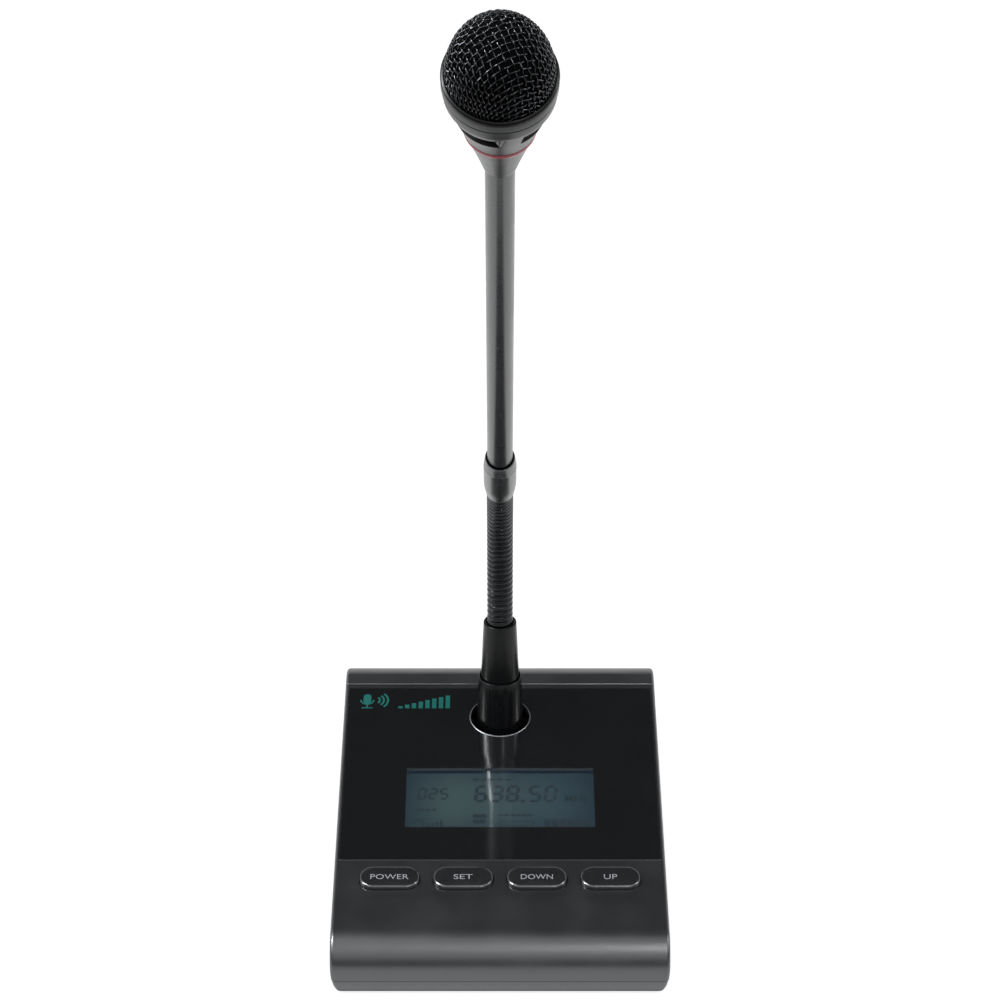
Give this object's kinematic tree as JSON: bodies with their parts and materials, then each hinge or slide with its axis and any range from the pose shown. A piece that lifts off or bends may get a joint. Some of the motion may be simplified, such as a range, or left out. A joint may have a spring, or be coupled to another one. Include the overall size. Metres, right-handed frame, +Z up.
{
  "type": "gooseneck podium microphone",
  "caption": "Wireless desktop microphone: a sloping base with display and keys carries a bendable neck, a straight stem and a domed wire-mesh head.",
  "frame": {"origin": "on the table surface under the feet, at the centre of the whole object's footprint box", "axes": "+X to the right of a person facing the keys, +Y away from that person, +Z up"},
  "size_m": [0.12, 0.2381, 0.3861],
  "materials": {
    "casing": "fine satin texture",
    "panel": "polished",
    "display": "lit blue-green display",
    "keys": "satin",
    "inner_steel": "plain",
    "circuit_board": "solder mask",
    "inner_plastic": "moulded",
    "brass": "turned",
    "cell_wrap": "printed sleeve",
    "rubber": "moulded",
    "neck_cone": "moulded, satin",
    "neck_metal": "satin black",
    "stem_metal": "satin charcoal",
    "ring_light": "translucent red",
    "grille_wire": "glossy black wire",
    "foam": "open foam"
  },
  "bodies": {
    "base": {"antenna": "brass", "ballast_plate": "inner_steel", "battery_contact_left": "inner_steel", "battery_contact_right": "inner_steel", "battery_front": "cell_wrap", "battery_holder": "inner_plastic", "battery_rear": "cell_wrap", "bottom_shell": "casing", "button_board": "circuit_board", "collar_nut": "neck_metal", "display_panel": "panel", "foot_front_left": "rubber", "foot_front_right": "rubber", "foot_rear_left": "rubber", "foot_rear_right": "rubber", "lcd_frame": "inner_steel", "lcd_glass": "display", "main_board": "circuit_board", "neck_bracket": "inner_steel", "neck_bush": "brass", "neck_cone": "neck_cone", "rf_shield": "inner_steel", "screw_front_left": "inner_steel", "screw_front_right": "inner_steel", "screw_rear_left": "inner_steel", "screw_rear_right": "inner_steel", "switch_down": "inner_plastic", "switch_power": "inner_plastic", "switch_set": "inner_plastic", "switch_up": "inner_plastic", "top_shell": "casing"},
    "neck_01": {"neck_segment_01": "neck_metal"},
    "neck_02": {"neck_segment_02": "neck_metal"},
    "neck_03": {"neck_segment_03": "neck_metal"},
    "neck_04": {"neck_segment_04": "neck_metal"},
    "neck_05": {"neck_segment_05": "neck_metal"},
    "neck_06": {"neck_segment_06": "neck_metal"},
    "neck_07": {"neck_segment_07": "neck_metal"},
    "neck_08": {"neck_segment_08": "neck_metal"},
    "neck_09": {"neck_segment_09": "neck_metal"},
    "neck_10": {"neck_segment_10": "neck_metal"},
    "stem_and_head": {"ferrule": "stem_metal", "stem_tube": "stem_metal", "head_body": "stem_metal", "red_ring": "ring_light", "grille_ring": "stem_metal", "grille_seat_ring": "neck_metal", "grille": "grille_wire", "foam_lining": "foam", "capsule": "brass", "capsule_mount": "rubber"},
    "key_power": {"button_power": "keys", "plunger_power": "inner_plastic"},
    "key_set": {"button_set": "keys", "plunger_set": "inner_plastic"},
    "key_down": {"button_down": "keys", "plunger_down": "inner_plastic"},
    "key_up": {"button_up": "keys", "plunger_up": "inner_plastic"},
    "battery_door": {"battery_door": "casing"}
  },
  "joints": [
    {"name": "neck_bend_forward_1", "type": "hinge", "parent": "base", "child": "neck_01", "pos_m": [0, 0.07951, 0.07995], "axis": [1, 0, 0], "range_deg": [-15, 10]},
    {"name": "neck_bend_sideways_1", "type": "hinge", "parent": "neck_01", "child": "neck_02", "pos_m": [0, 0.07947, 0.08672], "axis": [0, 0.9998, 0.0192], "range_deg": [-12, 12]},
    {"name": "neck_bend_forward_2", "type": "hinge", "parent": "neck_02", "child": "neck_03", "pos_m": [0, 0.07925, 0.09349], "axis": [1, 0, 0], "range_deg": [-15, 10]},
    {"name": "neck_bend_sideways_2", "type": "hinge", "parent": "neck_03", "child": "neck_04", "pos_m": [0, 0.07877, 0.10024], "axis": [0, 0.9954, 0.0959], "range_deg": [-12, 12]},
    {"name": "neck_bend_forward_3", "type": "hinge", "parent": "neck_04", "child": "neck_05", "pos_m": [0, 0.07795, 0.10696], "axis": [1, 0, 0], "range_deg": [-15, 10]},
    {"name": "neck_bend_sideways_3", "type": "hinge", "parent": "neck_05", "child": "neck_06", "pos_m": [0, 0.07674, 0.11362], "axis": [0, 0.9773, 0.2119], "range_deg": [-12, 12]},
    {"name": "neck_bend_forward_4", "type": "hinge", "parent": "neck_06", "child": "neck_07", "pos_m": [0, 0.07509, 0.12018], "axis": [1, 0, 0], "range_deg": [-15, 10]},
    {"name": "neck_bend_sideways_4", "type": "hinge", "parent": "neck_07", "child": "neck_08", "pos_m": [0, 0.07295, 0.1266], "axis": [0, 0.9348, 0.355], "range_deg": [-12, 12]},
    {"name": "neck_bend_forward_5", "type": "hinge", "parent": "neck_08", "child": "neck_09", "pos_m": [0, 0.07029, 0.13283], "axis": [1, 0, 0], "range_deg": [-15, 10]},
    {"name": "neck_bend_sideways_5", "type": "hinge", "parent": "neck_09", "child": "neck_10", "pos_m": [0, 0.06709, 0.13879], "axis": [0, 0.8577, 0.5142], "range_deg": [-12, 12]},
    {"name": "neck_bend_forward_6", "type": "hinge", "parent": "neck_10", "child": "stem_and_head", "pos_m": [0, 0.06333, 0.14442], "axis": [1, 0, 0], "range_deg": [-15, 10]},
    {"name": "button_power_press", "type": "slide", "parent": "base", "child": "key_power", "axis": [0, 0.1392, -0.9903], "range_m": [0, 0.0008], "stiffness_N_per_m": 800, "springref_m": -0.0006},
    {"name": "button_set_press", "type": "slide", "parent": "base", "child": "key_set", "axis": [0, 0.1392, -0.9903], "range_m": [0, 0.0008], "stiffness_N_per_m": 800, "springref_m": -0.0006},
    {"name": "button_down_press", "type": "slide", "parent": "base", "child": "key_down", "axis": [0, 0.1392, -0.9903], "range_m": [0, 0.0008], "stiffness_N_per_m": 800, "springref_m": -0.0006},
    {"name": "button_up_press", "type": "slide", "parent": "base", "child": "key_up", "axis": [0, 0.1392, -0.9903], "range_m": [0, 0.0008], "stiffness_N_per_m": 800, "springref_m": -0.0006},
    {"name": "battery_door_slide", "type": "slide", "parent": "base", "child": "battery_door", "axis": [0, 1, 0], "range_m": [0, 0.046]}
  ],
  "couplings": [
    {"joint": "neck_bend_forward_2", "follows": "neck_bend_forward_1", "ratio": 1},
    {"joint": "neck_bend_sideways_2", "follows": "neck_bend_sideways_1", "ratio": 1},
    {"joint": "neck_bend_forward_3", "follows": "neck_bend_forward_1", "ratio": 1},
    {"joint": "neck_bend_sideways_3", "follows": "neck_bend_sideways_1", "ratio": 1},
    {"joint": "neck_bend_forward_4", "follows": "neck_bend_forward_1", "ratio": 1},
    {"joint": "neck_bend_sideways_4", "follows": "neck_bend_sideways_1", "ratio": 1},
    {"joint": "neck_bend_forward_5", "follows": "neck_bend_forward_1", "ratio": 1},
    {"joint": "neck_bend_sideways_5", "follows": "neck_bend_sideways_1", "ratio": 1},
    {"joint": "neck_bend_forward_6", "follows": "neck_bend_forward_1", "ratio": 1}
  ]
}
